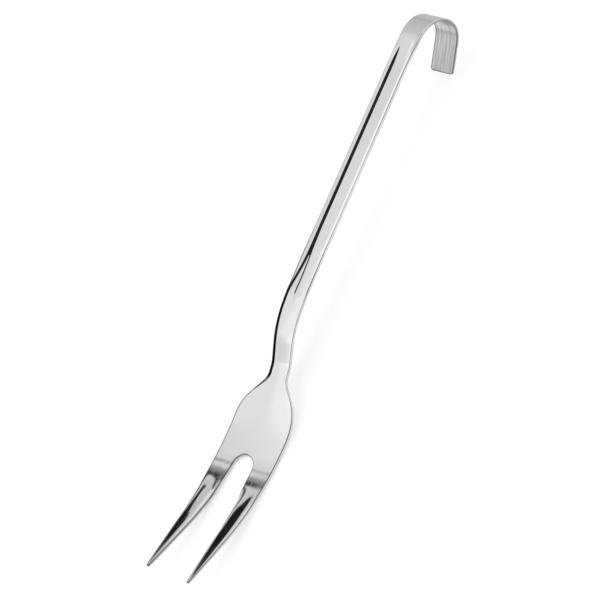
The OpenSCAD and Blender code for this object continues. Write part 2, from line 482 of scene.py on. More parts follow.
    def body_rise(self, t: Array, x: Array) -> Array:
        """Height of the dish above the middle line.

        Args:
            t: Distances along the strip.
            x: Distances from the middle line.

        Returns:
            The height at each point.
        """
        section, outline = self.section, self.outline
        peak = outline.widest_at + outline.shoulder_len / 2
        blade = mix(section.dish_depth, section.shoulder_dish, ease(t, outline.widest_at, peak))
        shoulder = mix(section.shoulder_dish, section.neck_dish, ease(t, peak, outline.shoulder_end))
        neck = section.neck_dish * (1 - ease(t, outline.shoulder_end, self.floor_full))
        depth = np.select([t < peak, t < outline.shoulder_end], [blade, shoulder], neck)
        return depth * (x / self.half(t)) ** 2

    def front(self, t: Array, x: Array) -> Array:
        """Height of the front, before its edges are rounded.

        Args:
            t: Distances along the strip.
            x: Distances from the middle line.

        Returns:
            The height at each point: the crowned tines near the tips, and the plain front after them.
        """
        plain = self.body_rise(t, x) + self.channel(t, x)
        outline = self.outline
        inner, outer = outline.slot(t), outline.tine_outer(t)
        middle, reach = (outer + inner) / 2, (outer - inner) / 2
        root = outline.slot_straight
        full = (float(outline.tine_outer(root)) - float(outline.slot(np.array([root]))[0])) / 2
        section = self.section
        canted = self.body_rise(t, middle) + math.tan(section.tine_cant) * (x - middle)
        crowned = canted - section.tine_crown * reach / full * ((x - middle) / reach) ** section.crown_power
        share = 1.0 - ease(t, section.crown_end - section.crown_fade, section.crown_end)
        return mix(plain, crowned, share)

    def thickness(self, t: Array) -> Array:
        """Thickness of the sheet, which is drawn thinner along the tines."""
        share = np.clip(t / self.outline.slot_straight, 0.0, 1.0)
        return mix(self.section.tip_sheet, self.section.sheet, share)

    def back(self, t: Array, x: Array) -> Array:
        """Height of the back. Behind the channel it is wider, as sheet bent round a corner is.

        Args:
            t: Distances along the strip.
            x: Distances from the middle line.

        Returns:
            The height at each point.
        """
        wider = self.section.sheet * math.tan(self.section.wall_slope / 2) * self.grip(t)
        groove = self.channel(t, np.maximum(0.0, x - wider)) - self.channel(t, x)
        return self.front(t, x) + groove - self.thickness(t)

    def from_edge(self, t: Array, x: Array) -> Array:
        """Distance of a point of the blank from the nearest edge of the outline.

        Args:
            t: Distances along the strip.
            x: Distances from the middle line.

        Returns:
            The distance at each point.
        """
        outline = self.outline
        inner, outer = outline.slot(t), self.half(t)
        away = outer - x
        in_slot = np.hypot(np.maximum(t - outline.slot_straight, 0.0), x) - outline.slot_arch
        slot_side = np.where(t < outline.slot_straight, x - inner, in_slot)
        away = np.minimum(away, slot_side)
        tip = outline.tip_width / 2
        tip_side = tip - np.hypot(t - tip, x - (outline.tine_outer(t) + inner) / 2)
        away = np.where(t < tip, tip_side, away)
        corner = outline.corner_r
        past_t, past_x = t - (self.end - corner), x - (outer - corner)
        in_corner = (past_t > 0) & (past_x > 0)
        away = np.minimum(away, self.end - t)
        return np.where(in_corner, corner - np.hypot(past_t, past_x), away)

    def edge_drop(self, t: Array, x: Array) -> Array:
        """How far the rounding of the polished edges takes the face down.

        Args:
            t: Distances along the strip.
            x: Distances from the middle line.

        Returns:
            The depth at each point.
        """
        radius = self.section.edge_r
        short = radius - np.clip(self.from_edge(t, x), 0.0, radius)
        return radius - np.sqrt(radius**2 - short**2)

    def place(self, t: Array, x: Array, height: Array, shifted: bool = True) -> Array:
        """Places points of the strip in the part's own frame.

        Args:
            t: Distances along the strip.
            x: Distances from the middle line.
            height: Heights in front of the side profile.
            shifted: Whether the fork is moved onto the CAD's place.

        Returns:
            The points, in millimetres, with their three coordinates last.
        """
        along, up, heading = self.profile.pose(t)
        sine, cosine = math.sin(self.level), math.cos(self.level)
        turned = heading + self.level
        points = np.stack(
            [
                along * cosine - up * sine - height * np.sin(turned),
                -x + 0.0 * t,
                along * sine + up * cosine + height * np.cos(turned),
            ],
            axis=-1,
        )
        return points + np.array(self.offset) if shifted else points


@dataclass
class Blank:
    """The flat blank of one half: its rows of points along the strip and its columns across and round.

    The steps are the distances between rows. A band is a rounded edge's share of the columns, and the
    column stops say where the channel's folds fall among the columns between the bands.
    """

    strip: Strip
    band: int = 6
    band_share: float = 0.45
    field_columns: int = 72
    wall: int = 3
    edge_reach: float = 3.0
    round_rows: int = 10
    corner_rows: int = 12
    root_rows: int = 31
    tine_step: float = 0.7
    blade_step: float = 0.6
    nose_step: float = 0.15
    handle_step: float = 2.0
    bend_step: float = 0.5
    leg_step: float = 0.9
    closest: float = 0.004
    places: int = 5
    fold_pad: float = 0.1
    floor_least: float = 0.14
    wall_least: float = 0.3
    rim_gap: float = 0.02
    column_stops: tuple[float, ...] = (0.0, 0.16, 0.36, 0.46, 0.78, 1.0)
    drawn_from: float = 30.0
    drawn_full: float = 8.0

    def rows(self) -> Array:
        """Lays out the rows.

        Returns:
            Stations along the strip, close together where the form changes quickly.
        """
        strip, outline = self.strip, self.strip.outline
        radius = strip.section.edge_r
        turn = np.linspace(0.0, math.pi / 2, self.round_rows)
        root = np.linspace(0.0, math.pi / 2, self.root_rows)
        corner = outline.corner_r
        ends = strip.end - corner * (1 - np.sin(np.linspace(0.0, math.pi / 2, self.corner_rows)))
        lip = strip.end - radius * (1 - np.sin(turn))
        pieces = [
            outline.tip_width / 2 * (1 - np.cos(turn)),
            np.arange(outline.tip_width / 2, outline.slot_straight, self.tine_step),
            outline.slot_straight + outline.slot_arch * np.sin(root),
            outline.slot_len + radius * (1 - np.cos(turn)),
            np.arange(outline.slot_len + self.tine_step, outline.shoulder_end, self.blade_step),
            np.arange(outline.shoulder_end, strip.floor_full, self.blade_step),
            np.arange(strip.floor_start, strip.floor_start + strip.section.floor_nose, self.nose_step),
            np.arange(strip.floor_full, strip.flat_from, self.handle_step),
            np.arange(strip.flat_from, strip.hook_start, self.blade_step),
            np.arange(strip.hook_start, strip.leg_start, self.bend_step),
            np.arange(strip.leg_start, strip.end - corner, self.leg_step),
            ends,
            lip,
            np.array(self.cuts()),
        ]
        stations = np.unique(np.round(np.concatenate(pieces), self.places))
        fixed = np.isin(stations, np.round(np.concatenate([self.cuts(), [0.0, strip.end]]), self.places))
        apart = np.diff(stations, prepend=-math.inf) >= self.closest
        return stations[apart | fixed]

    def cuts(self) -> list[float]:
        """Lists the stations at which the form breaks off.

        Returns:
            The cuts between the stretches, and the slot's end.
        """
        strip = self.strip
        return [
            strip.outline.tine_end,
            strip.outline.slot_len,
            strip.outline.shoulder_end,
            strip.neck_end,
            strip.hook_start,
            strip.leg_start,
        ]

    def across(self, t: Array) -> Array:
        """Lays out the columns of one face.

        Args:
            t: The stations.

        Returns:
            Distances from the middle line, one row for each station, from the inner to the outer edge.
        """
        strip = self.strip
        radius = strip.section.edge_r
        inner, outer = strip.edges(t)
        reach = (outer - inner) / 2
        arch = strip.outline.slot_arch
        past = np.clip(t - strip.outline.slot_straight, 0.0, arch + radius)
        at_root = np.sqrt((arch + radius) ** 2 - past**2) - np.sqrt(np.maximum(arch**2 - past**2, 0.0))
        inner_band = np.where(t > strip.outline.slot_straight, np.maximum(at_root, radius), radius)
        inner_band = np.minimum(inner_band, reach * self.band_share)
        outer_band = np.minimum(radius, reach * self.band_share)
        curve = 1 - np.cos(np.linspace(0.0, math.pi / 2, self.band + 1))
        low, high = inner + inner_band, outer - outer_band
        start = inner[:, None] + inner_band[:, None] * curve[None, :-1]
        finish = outer[:, None] - outer_band[:, None] * curve[None, :-1][:, ::-1]
        return np.concatenate([start, self.columns(t, low, high), finish], axis=1)

    def columns(self, t: Array, low: Array, high: Array) -> Array:
        """Lays out the columns between the rounded edges, crowded onto the channel's walls.

        Args:
            t: The stations.
            low: Where the columns start.
            high: Where they end.

        Returns:
            One row of distances for each station.
        """
        strip = self.strip
        share = np.linspace(0.0, 1.0, self.field_columns + 1)
        even = low[:, None] + (high - low)[:, None] * share[None, :]
        narrow, foot, wide = strip.walls(t)
        pad = strip.section.fold_r + self.fold_pad
        floor = strip.floor_half(t)
        between = (floor + narrow + foot) / 2
        knots = [
            low,
            np.maximum(floor - pad, self.floor_least * high),
            np.maximum(np.minimum(floor + narrow + pad, between), self.wall_least * high),
            np.maximum(foot - pad, between),
            np.minimum(foot + wide + pad, high - self.rim_gap),
            high,
        ]
        knots = np.maximum.accumulate(np.stack(knots, axis=1), axis=1)
        drawn = np.stack([np.interp(share, self.column_stops, row) for row in knots])
        shoulder = strip.outline.shoulder_end
        return mix(even, drawn, ease(t, shoulder - self.drawn_from, shoulder - self.drawn_full)[:, None])

    def points(self) -> tuple[Array, Array]:
        """Presses every point of the blank to its place.

        Returns:
            Points in millimetres, by row, then by column round the half section: over the front from the
            inner to the outer edge, down the side, back over the back, and up the inner side. Then what
            the finish reads at each point: the distance along the strip, 0 on the front and 1 on the
            back, and the distance from the edge.
        """
        strip = self.strip
        t_row = self.rows()
        x = self.across(t_row)
        t = t_row[:, None] * np.ones_like(x)
        drop = strip.edge_drop(t, x)
        front = strip.front(t, x) - drop
        back = strip.back(t, x) + drop
        wall = np.linspace(0.0, 1.0, self.wall + 1)[1:-1]
        outside = mix(front[:, -1:], back[:, -1:], wall[None, :])
        inside = mix(back[:, :1], front[:, :1], wall[None, :])
        heights = np.concatenate([front, outside, back[:, ::-1], inside, front[:, :1]], axis=1)
        ones = np.ones((1, self.wall - 1))
        spread = np.concatenate([x, x[:, -1:] * ones, x[:, ::-1], x[:, :1] * ones, x[:, :1]], axis=1)
        t_all = t_row[:, None] * np.ones_like(spread)
        away = np.clip(strip.from_edge(t, x), 0.0, self.edge_reach)
        none = np.zeros((len(t_row), self.wall - 1))
        side = none + self.edge_reach
        edge = np.concatenate([away, side, away[:, ::-1], side, away[:, :1]], axis=1)
        behind = np.concatenate([0 * x, none + wall, 0 * x + 1, none + 1 - wall, 0 * x[:, :1]], axis=1)
        return strip.place(t_all, spread, heights), np.stack([t_all, behind, edge], axis=-1)


class Bench:
    """Adds nodes to one tree and joins them."""

    def __init__(self, tree: bpy.types.NodeTree) -> None:
        """Takes the tree that it works on."""
        self.tree = tree

    def feed(self, node: bpy.types.Node, values: dict) -> bpy.types.Node:
        """Fills a node's inputs.

        Args:
            node: The node.
            values: What goes into its inputs, by name or number: a value, or the socket that feeds it.

        Returns:
            The same node.
        """
        for key, value in values.items():
            if isinstance(value, bpy.types.NodeSocket):
                self.tree.links.new(value, node.inputs[key])
            else:
                node.inputs[key].default_value = value
        return node

    def add(self, kind: str, values: dict | None = None, **settings: object) -> bpy.types.Node:
        """Adds one node.

        Args:
            kind: The node's type, without the word that all shader nodes start with.
            values: What goes into its inputs.
            settings: The node's own settings.

        Returns:
            The node.
        """
        node = self.tree.nodes.new("ShaderNode" + kind)
        for name, setting in settings.items():
            setattr(node, name, setting)
        return self.feed(node, values or {})

    def placed(self, group: bpy.types.NodeTree, values: dict) -> bpy.types.Node:
        """Places a node group in the tree with its own values, and returns its node."""
        return self.feed(self.add("Group", node_tree=group), values)

    def math(self, operation: str, *values: object) -> bpy.types.NodeSocket:
        """Adds one sum, and returns its result."""
        return self.add("Math", dict(enumerate(values)), operation=operation).outputs[0]

    def noise(self, where: object, scale: float, detail: float, rough: float = 0.5) -> object:
        """Adds smooth noise, and returns its value."""
        values = {"Vector": where, "Scale": scale, "Detail": detail, "Roughness": rough}
        return self.add("TexNoise", values).outputs[0]

    def spread(self, value: object, low: float, high: float, to_low: object, to_high: object) -> object:
        """Maps low to high onto another range, softly at both ends, and returns the result."""
        values = {"Value": value, "From Min": low, "From Max": high, "To Min": to_low, "To Max": to_high}
        return self.add("MapRange", values, interpolation_type="SMOOTHSTEP").outputs["Result"]

    def rise(self, value: object, low: float, high: float) -> object:
        """Rises softly from 0 at low to 1 at high, and returns the result."""
        return self.spread(value, low, high, 0.0, 1.0)

    def blend(self, share: object, low: object, high: object) -> bpy.types.NodeSocket:
        """Goes from one colour to another, and returns the result."""
        return self.add("Mix", {0: share, 6: low, 7: high}, data_type="RGBA").outputs[2]


def new_group(name: str, inputs: dict[str, float]) -> tuple:
    """Starts a shader node group of number sockets, with one output, its mask.

    Args:
        name: The group's name.
        inputs: Its inputs and what they hold when nothing is given.

    Returns:
        The group, a bench on it, its inputs by name, and its output node.
    """
    group = bpy.data.node_groups.new(name, "ShaderNodeTree")
    for key, value in inputs.items():
        socket = group.interface.new_socket(key, in_out="INPUT", socket_type="NodeSocketFloat")
        socket.default_value = value
    group.interface.new_socket("Mask", in_out="OUTPUT", socket_type="NodeSocketFloat")
    entry, leave = group.nodes.new("NodeGroupInput"), group.nodes.new("NodeGroupOutput")
    return group, Bench(group), entry.outputs, leave


@dataclass(frozen=True)
class Layer:
    """One layer of streaks or scratches: their length, width and slant in millimetres, and its seed."""

    length: float
    width: float
    seed: float
    slant: float = 0.0


@dataclass(frozen=True)
class Speckle:
    """One noise, with its scale, its detail and its roughness, and the values it rises between."""

    scale: float
    detail: float
    low: float
    high: float
    rough: float = 0.5

    def mask(self, bench: Bench, where: object) -> bpy.types.NodeSocket:
        """Adds the noise at a place, and returns its mask."""
        return bench.rise(bench.noise(where, self.scale, self.detail, self.rough), self.low, self.high)


@dataclass(frozen=True)
class Spot:
    """What the finish reads at a point of the strip, as the sockets that give it."""

    place: bpy.types.NodeSocket
    along: bpy.types.NodeSocket
    across: bpy.types.NodeSocket
    behind: bpy.types.NodeSocket
    from_edge: bpy.types.NodeSocket
    hook: bpy.types.NodeSocket


@dataclass(frozen=True)
class Wear:
    """How strong each mark of the polishing and of use is at a point, as sockets."""

    fine: bpy.types.NodeSocket
    streak: bpy.types.NodeSocket
    grain: bpy.types.NodeSocket
    scratch: bpy.types.NodeSocket
    smudge: bpy.types.NodeSocket
    worn: bpy.types.NodeSocket


@dataclass(frozen=True)
class PolishedSteel:
    """Mirror-polished stainless steel with the faint marks of the polishing wheel and of use.

    Distances along the strip, across it and from its edge are in millimetres. Noise scales are per metre,
    or for each length and width of a layer. The hook is satin. The rim is a dark reflection painted into
    the colour near an edge: it is full on the tines and the blade, faint on the neck, on the right side
    only along the grip, and behind only on the hook. The hook's side faces are painted grey as a darker
    reflection, with painted shade on their lower half.
    """

    name: str = "polished_steel"
    colour: Colour = (0.83, 0.83, 0.833, 1.0)
    back_colour: Colour = (0.72, 0.72, 0.725, 1.0)
    dull_colour: Colour = (0.4, 0.4, 0.405, 1.0)
    # Painted dark reflection, laid along the edges and on the lower half of the hook's side faces.
    dark_reflection_colour: Colour = (0.3, 0.3, 0.3, 1.0)
    # Painted grey reflection on the hook's side faces.
    side_reflection_colour: Colour = (0.5, 0.5, 0.505, 1.0)
    roughness: float = 0.04
    haze: float = 0.05
    brushed: float = 0.17
    worn_edge: float = 0.12
    satin: float = 0.2
    satin_from: float = 328.0
    satin_full: float = 346.0
    fine: Layer = Layer(length=35.0, width=0.22, seed=2.0)
    broad: Layer = Layer(length=24.0, width=1.3, seed=5.0)
    broad_share: float = 0.6
    scratches: tuple[Layer, ...] = (
        Layer(length=14.0, width=0.5, seed=11.0, slant=0.03),
        Layer(length=5.0, width=0.6, seed=17.0, slant=0.6),
        Layer(length=4.0, width=0.7, seed=23.0, slant=-0.9),
    )
    lines: Speckle = Speckle(scale=1.0, detail=3.0, low=0.3, high=0.7)
    patches: Speckle = Speckle(scale=0.31, detail=1.0, low=0.55, high=0.65)
    smudges: Speckle = Speckle(scale=42.0, detail=4.0, low=0.45, high=0.75, rough=0.62)
    nicks: Speckle = Speckle(scale=900.0, detail=2.0, low=0.5, high=0.7)
    scratch_line: float = 0.02
    wave_scale: float = 70.0
    worn_full: float = 0.15
    worn_none: float = 0.9
    # Where and how wide the painted dark reflection along the edges lies.
    rim_full: float = 190.0
    rim_faint: float = 230.0
    neck_rim: float = 0.2
    grip_rim: float = 0.9
    rim_dark: float = 0.4
    rim_none: float = 0.72
    left_rim: float = 1.7
    hook_extra: float = 0.3
    # Where the hook's side faces are painted grey as a darker reflection.
    side_paint_none: float = 0.02
    side_paint_full: float = 0.16
    back_none: float = 0.5
    back_full: float = 0.75
    middle: float = 1.0
    relief: float = 0.00001
    wave_height: float = 0.5
    fine_height: float = 0.02
    grain_height: float = 0.25
    scratch_depth: float = 0.12

    @staticmethod
    def start_layer(name: str) -> tuple:
        """Starts the group of one kind of layer, with its pattern stretched along the strip.

        Args:
            name: The group's name.

        Returns:
            The group, a bench on it, its output node, and where a point lies in the pattern.
        """
        inputs = {"Along": 0.0, "Across": 0.0, "Slant": 0.0, "Length": 10.0, "Width": 0.5, "Seed": 0.0}
        group, bench, given, leave = new_group(name, inputs)
        shifted = bench.math("MULTIPLY_ADD", given["Along"], given["Slant"], given["Across"])
        along = bench.math("DIVIDE", given["Along"], given["Length"])
        across = bench.math("DIVIDE", shifted, given["Width"])
        where = bench.add("CombineXYZ", {"X": along, "Y": across, "Z": given["Seed"]}).outputs[0]
        return group, bench, leave, where

    def streaks(self) -> bpy.types.NodeTree:
        """Builds the group for lengthwise streaks: fine lines that run a long way along the strip.

        Returns:
            The group.
        """
        group, bench, leave, where = self.start_layer("lengthwise_streaks")
        bench.feed(leave, {"Mask": self.lines.mask(bench, where)})
        return group

    def hairlines(self) -> bpy.types.NodeTree:
        """Builds the group for hairline scratches: short, thin and all at about one slant.

        Returns:
            The group.
        """
        group, bench, leave, where = self.start_layer("hairline_scratches")
        line = bench.math("ABSOLUTE", bench.math("SUBTRACT", bench.noise(where, 1.0, 0.0), 0.5))
        thin = bench.spread(line, 0.0, self.scratch_line, 1.0, 0.0)
        bench.feed(leave, {"Mask": bench.math("MULTIPLY", thin, self.patches.mask(bench, where))})
        return group

    def spot(self, bench: Bench) -> Spot:
        """Reads where a point lies on the strip.

        Args:
            bench: The material's nodes.

        Returns:
            What the finish reads there.
        """
        mark = bench.add("Attribute", attribute_name=STRIP_PLACE)
        along, behind, from_edge = bench.add("SeparateXYZ", {0: mark.outputs["Vector"]}).outputs
        place = bench.add("TexCoord").outputs["Object"]
        across = bench.math("MULTIPLY", bench.add("SeparateXYZ", {0: place}).outputs["Y"], 1.0 / MM)
        hook = bench.rise(along, self.satin_from, self.satin_full)
        return Spot(place, along, across, behind, from_edge, hook)

    def wear(self, bench: Bench, spot: Spot) -> Wear:
        """Lays out the marks of the polishing and of use.

        Args:
            bench: The material's nodes.
            spot: What the finish reads at a point.

        Returns:
            How strong each mark is there.
        """

        def layer(group: bpy.types.NodeTree, marks: Layer) -> bpy.types.NodeSocket:
            """Places one layer, and returns its mask."""
            sizes = {"Slant": marks.slant, "Length": marks.length, "Width": marks.width, "Seed": marks.seed}
            return bench.placed(group, {"Along": spot.along, "Across": spot.across, **sizes}).outputs[0]

        streaks, hairlines = self.streaks(), self.hairlines()
        fine, broad = layer(streaks, self.fine), layer(streaks, self.broad)
        fine_share = bench.math("MULTIPLY", fine, 1.0 - self.broad_share)
        streak = bench.math("MULTIPLY_ADD", broad, self.broad_share, fine_share)
        grain = bench.math("MULTIPLY", spot.behind, streak)
        scratch: object = 0.0
        for marks in self.scratches:
            scratch = bench.math("MAXIMUM", layer(hairlines, marks), scratch)
        near_edge = bench.spread(spot.from_edge, self.worn_full, self.worn_none, 1.0, 0.0)
        worn = bench.math("MULTIPLY", near_edge, self.nicks.mask(bench, spot.place))
        return Wear(fine, streak, grain, scratch, self.smudges.mask(bench, spot.place), worn)

    def rim(self, bench: Bench, spot: Spot) -> bpy.types.NodeSocket:
        """Works out how strong the dark reflection painted near the edges is.

        Args:
            bench: The material's nodes.
            spot: What the finish reads at a point.

        Returns:
            Its strength there.
        """
        blade = bench.spread(spot.along, self.rim_full, self.rim_faint, 1.0, self.neck_rim)
        right = bench.spread(spot.across, -self.middle, self.middle, 1.0, 0.0)
        grip = bench.spread(spot.along, self.rim_faint, self.satin_from, 0.0, self.grip_rim)
        front = bench.math("MAXIMUM", blade, bench.math("MULTIPLY", grip, right))
        strength = bench.blend(spot.hook, front, spot.behind)
        width = bench.spread(spot.across, -self.middle, self.middle, 1.0, self.left_rim)
        behind_hook = bench.math("MULTIPLY", spot.hook, spot.behind)
        width = bench.math("MULTIPLY_ADD", behind_hook, self.hook_extra, width)
        within = bench.math("DIVIDE", spot.from_edge, width)
        near = bench.spread(within, self.rim_dark, self.rim_none, 1.0, 0.0)
        return bench.math("MULTIPLY", near, strength)

    def tint(self, bench: Bench, spot: Spot, wear: Wear) -> bpy.types.NodeSocket:
        """Colours the steel: a bright front, a duller, streaked back, a dark reflection painted along the
        edges, and the hook's side faces painted grey as a darker reflection with painted shade on their lower
        half.

        Args:
            bench: The material's nodes.
            spot: What the finish reads at a point.
            wear: The marks there.

        Returns:
            The colour there.
        """
        streaked = bench.blend(wear.streak, self.back_colour, self.dull_colour)
        colour = bench.blend(spot.behind, self.colour, streaked)
        # Painted dark reflection along the edges.
        colour = bench.blend(self.rim(bench, spot), colour, self.dark_reflection_colour)
        # The hook's side faces are painted grey as a darker reflection, and their lower half dark as painted
        # shade.
        on_side = bench.math("MULTIPLY", spot.behind, bench.math("SUBTRACT", 1.0, spot.behind))
        painted_side = bench.math("MULTIPLY", bench.rise(on_side, self.side_paint_none, self.side_paint_full), spot.hook)
        colour = bench.blend(painted_side, colour, self.side_reflection_colour)
        at_back = bench.rise(spot.behind, self.back_none, self.back_full)
        return bench.blend(bench.math("MULTIPLY", at_back, painted_side), colour, self.dark_reflection_colour)

    def rough(self, bench: Bench, spot: Spot, wear: Wear) -> bpy.types.NodeSocket:
        """Roughens the polish by its marks, and the hook to satin.

        Args:
            bench: The material's nodes.
            spot: What the finish reads at a point.
            wear: The marks there.

        Returns:
            The roughness there.
        """
        rough: object = self.roughness
        marks = {
            wear.smudge: self.haze,
            wear.grain: self.brushed,
            wear.worn: self.worn_edge,
            wear.scratch: self.worn_edge,
            spot.hook: self.satin,
        }
        for mark, strength in marks.items():
            rough = bench.math("MULTIPLY_ADD", mark, strength, rough)
        return rough

    def bump(self, bench: Bench, spot: Spot, wear: Wear) -> bpy.types.NodeSocket:
        """Gives the polish its relief: a faint wave, the streaks, and the scratches and nicks cut in.

        Args:
            bench: The material's nodes.
            spot: What the finish reads at a point.
            wear: The marks there.

        Returns:
            The normal there.
        """
        wave = bench.math("MULTIPLY", bench.noise(spot.place, self.wave_scale, 1.0), self.wave_height)
        height = bench.math("MULTIPLY_ADD", wear.fine, self.fine_height, wave)
        fine_grain = bench.math("MULTIPLY", wear.grain, wear.fine)
        height = bench.math("MULTIPLY_ADD", fine_grain, self.grain_height, height)
        cut_in = bench.math("MAXIMUM", wear.scratch, wear.worn)
        height = bench.math("MULTIPLY_ADD", cut_in, -self.scratch_depth, height)
        values = {"Height": height, "Distance": self.relief, "Strength": 1.0}
        return bench.add("Bump", values).outputs["Normal"]

    def build(self) -> bpy.types.Material:
        """Builds the material.

        Returns:
            The material.
        """
        material = bpy.data.materials.new(self.name)
        material.use_nodes = True
        shader = material.node_tree.nodes["Principled BSDF"]
        shader.inputs["Metallic"].default_value = 1.0
        bench = Bench(material.node_tree)
        spot = self.spot(bench)
        wear = self.wear(bench, spot)
        colour, rough = self.tint(bench, spot, wear), self.rough(bench, spot, wear)
        bench.feed(shader, {"Base Color": colour, "Roughness": rough, "Normal": self.bump(bench, spot, wear)})
        return material


@dataclass
class Pressing:
    """The whole fork as one pressing, and the stretches it is cut into. Its gaps are in metres."""

    strip: Strip
    finish: PolishedSteel = field(default_factory=PolishedSteel)
    mirror_gap: float = 1e-6
    weld_gap: float = 2e-6
    sliver: float = 1e-7
    into_row: float = 1e-4
    blank: Blank = field(init=False)
    material: bpy.types.Material = field(init=False)

    def __post_init__(self) -> None:
        """Builds the finish and works out the blank."""
        self.blank = Blank(self.strip)
        self.material = self.finish.build()

    def press(self) -> bpy.types.Object:
        """Lays out the flat blank of one half, presses it, mirrors it and closes it.

        Returns:
            The whole pressing, with the stretch of each face and the normal of each point kept on it.
        """
        rows = self.blank.rows()
        points, marks = self.blank.points()
        points = points * MM
        row_count, column_count = points.shape[:2]
        bpy.ops.object.select_all(action="DESELECT")
        bpy.ops.mesh.primitive_grid_add(
            x_subdivisions=row_count - 1, y_subdivisions=column_count - 1, size=1.0
        )
        pressing = bpy.context.object
        mesh = pressing.data
        flat = np.empty(len(mesh.vertices) * 3)
        mesh.vertices.foreach_get("co", flat)
        flat = flat.reshape(-1, 3)
        row = np.rint((flat[:, 0] + 0.5) * (row_count - 1)).astype(int)
        column = np.rint((flat[:, 1] + 0.5) * (column_count - 1)).astype(int)
        mesh.vertices.foreach_set("co", points[row, column].astype(np.float32).ravel())
        mesh.update()
        layer = mesh.attributes.new(STRIP_PLACE, "FLOAT_VECTOR", "POINT")
        layer.data.foreach_set("vector", marks[row, column].astype(np.float32).ravel())
        self.mark_faces(mesh, row, column, rows, column_count)
        modifier = pressing.modifiers.new("other_half", "MIRROR")
        modifier.use_axis = (False, True, False)
        modifier.merge_threshold = self.mirror_gap
        bpy.ops.object.modifier_apply(modifier=modifier.name)
        bpy.ops.object.mode_set(mode="EDIT")
        bpy.ops.mesh.select_all(action="SELECT")
        bpy.ops.mesh.remove_doubles(threshold=self.weld_gap)
        bpy.ops.mesh.dissolve_degenerate(threshold=self.sliver)
        bpy.ops.mesh.select_all(action="SELECT")
        bpy.ops.mesh.fill_holes(sides=0)
        bpy.ops.mesh.normals_make_consistent(inside=False)
        bpy.ops.object.mode_set(mode="OBJECT")
        bpy.ops.object.shade_smooth()
        self.keep_normals(pressing.data)
        return pressing

    def mark_faces(self, mesh: bpy.types.Mesh, row: Array, column: Array, rows: Array, columns: int) -> None:
        """Writes each face's stretch on it, and takes out the inner side where there is no slot.

        Args:
            mesh: The pressed half.
            row: The row of each point.
            column: The column of each point.
            rows: The station of each row.
            columns: The number of columns.
        """
        corners = np.empty(len(mesh.loops), int)
        mesh.loops.foreach_get("vertex_index", corners)
        corners = corners.reshape(-1, 4)
        middle = rows[row[corners].min(axis=1)] + self.into_row
        ends = [cut for cut in self.blank.cuts() if cut != self.strip.outline.slot_len]
        stretch = np.searchsorted(np.array(ends), middle)
        layer = mesh.attributes.new("stretch", "INT", "FACE")
        layer.data.foreach_set("value", stretch.astype(np.int32))
        inner = column[corners].min(axis=1) >= columns - 1 - self.blank.wall
        self.delete_faces(mesh, inner & (middle > self.strip.outline.slot_len))

    @staticmethod
    def delete_faces(mesh: bpy.types.Mesh, spare: Array) -> None:
        """Deletes faces of the active object.

        Args:
            mesh: Its mesh.
            spare: True for each face that goes.
        """
        bpy.context.tool_settings.mesh_select_mode = (False, False, True)
        mesh.vertices.foreach_set("select", np.zeros(len(mesh.vertices), bool))
        mesh.edges.foreach_set("select", np.zeros(len(mesh.edges), bool))
        mesh.polygons.foreach_set("select", spare)
        bpy.ops.object.mode_set(mode="EDIT")
        bpy.ops.mesh.delete(type="FACE")
        bpy.ops.object.mode_set(mode="OBJECT")

    @staticmethod
    def keep_normals(mesh: bpy.types.Mesh) -> None:
        """Writes the normals of the whole pressing on its points, for the pieces cut from it.

        Args:
            mesh: The pressing's mesh.
        """
        normals = np.empty(len(mesh.vertices) * 3, np.float32)
        mesh.vertex_normals.foreach_get("vector", normals)
        layer = mesh.attributes.new("pressed_normal", "FLOAT_VECTOR", "POINT")
        layer.data.foreach_set("vector", normals)

    def cut(
        self, pressing: bpy.types.Object, name: str, stretch: Stretch, side: int = 0
    ) -> bpy.types.Object:
        """Cuts one stretch from a copy of the pressing and closes its cut ends.

        Args:
            pressing: The whole pressing.
            name: The piece's name, which is also the CAD node's.
            stretch: The stretch to keep.
            side: 1 for what lies on the right, -1 for the left, 0 for both.

        Returns:
            The piece, dressed and riding on the body.
        """
        bpy.ops.object.select_all(action="DESELECT")
        piece = pressing.copy()
        piece.data = pressing.data.copy()
        piece.name = piece.data.name = name + "_pressed"
        bpy.context.collection.objects.link(piece)
        bpy.context.view_layer.objects.active = piece
        piece.select_set(True)
        mesh = piece.data
        stretches = np.empty(len(mesh.polygons), np.int32)
        mesh.attributes["stretch"].data.foreach_get("value", stretches)
        centres = np.empty(len(mesh.polygons) * 3)
        mesh.polygons.foreach_get("center", centres)
        spare = stretches != stretch.value
        if side:
            spare |= centres.reshape(-1, 3)[:, 1] * side > 0
        self.delete_faces(mesh, spare)
        bpy.ops.object.mode_set(mode="EDIT")
        bpy.ops.mesh.select_all(action="SELECT")
        bpy.ops.mesh.fill_holes(sides=0)
        bpy.ops.object.mode_set(mode="OBJECT")
        self.set_normals(piece.data, stretch)
        piece.data.materials.clear()
        piece.data.materials.append(self.material)
        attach(piece, BODY)
        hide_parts(name)
        log.info("%s: %d faces", name, len(piece.data.polygons))
        return piece

    @staticmethod
    def set_normals(mesh: bpy.types.Mesh, stretch: Stretch) -> None:
        """Gives a piece the normals of the whole pressing, so that no seam shows in the polish.

        Args:
            mesh: The piece's mesh.
            stretch: The stretch that it is. Not used.
        """
        kept = np.empty(len(mesh.vertices) * 3, np.float32)
        mesh.attributes["pressed_normal"].data.foreach_get("vector", kept)
        kept = kept.reshape(-1, 3)
        corners = np.empty(len(mesh.loops), int)
        mesh.loops.foreach_get("vertex_index", corners)
        normals = kept[corners]
        for polygon in mesh.polygons:
            if polygon.loop_total > 4:
                span = slice(polygon.loop_start, polygon.loop_start + polygon.loop_total)
                normals[span] = polygon.normal
        mesh.normals_split_custom_set(normals)
        mesh.attributes.remove(mesh.attributes["pressed_normal"])
        mesh.attributes.remove(mesh.attributes["stretch"])

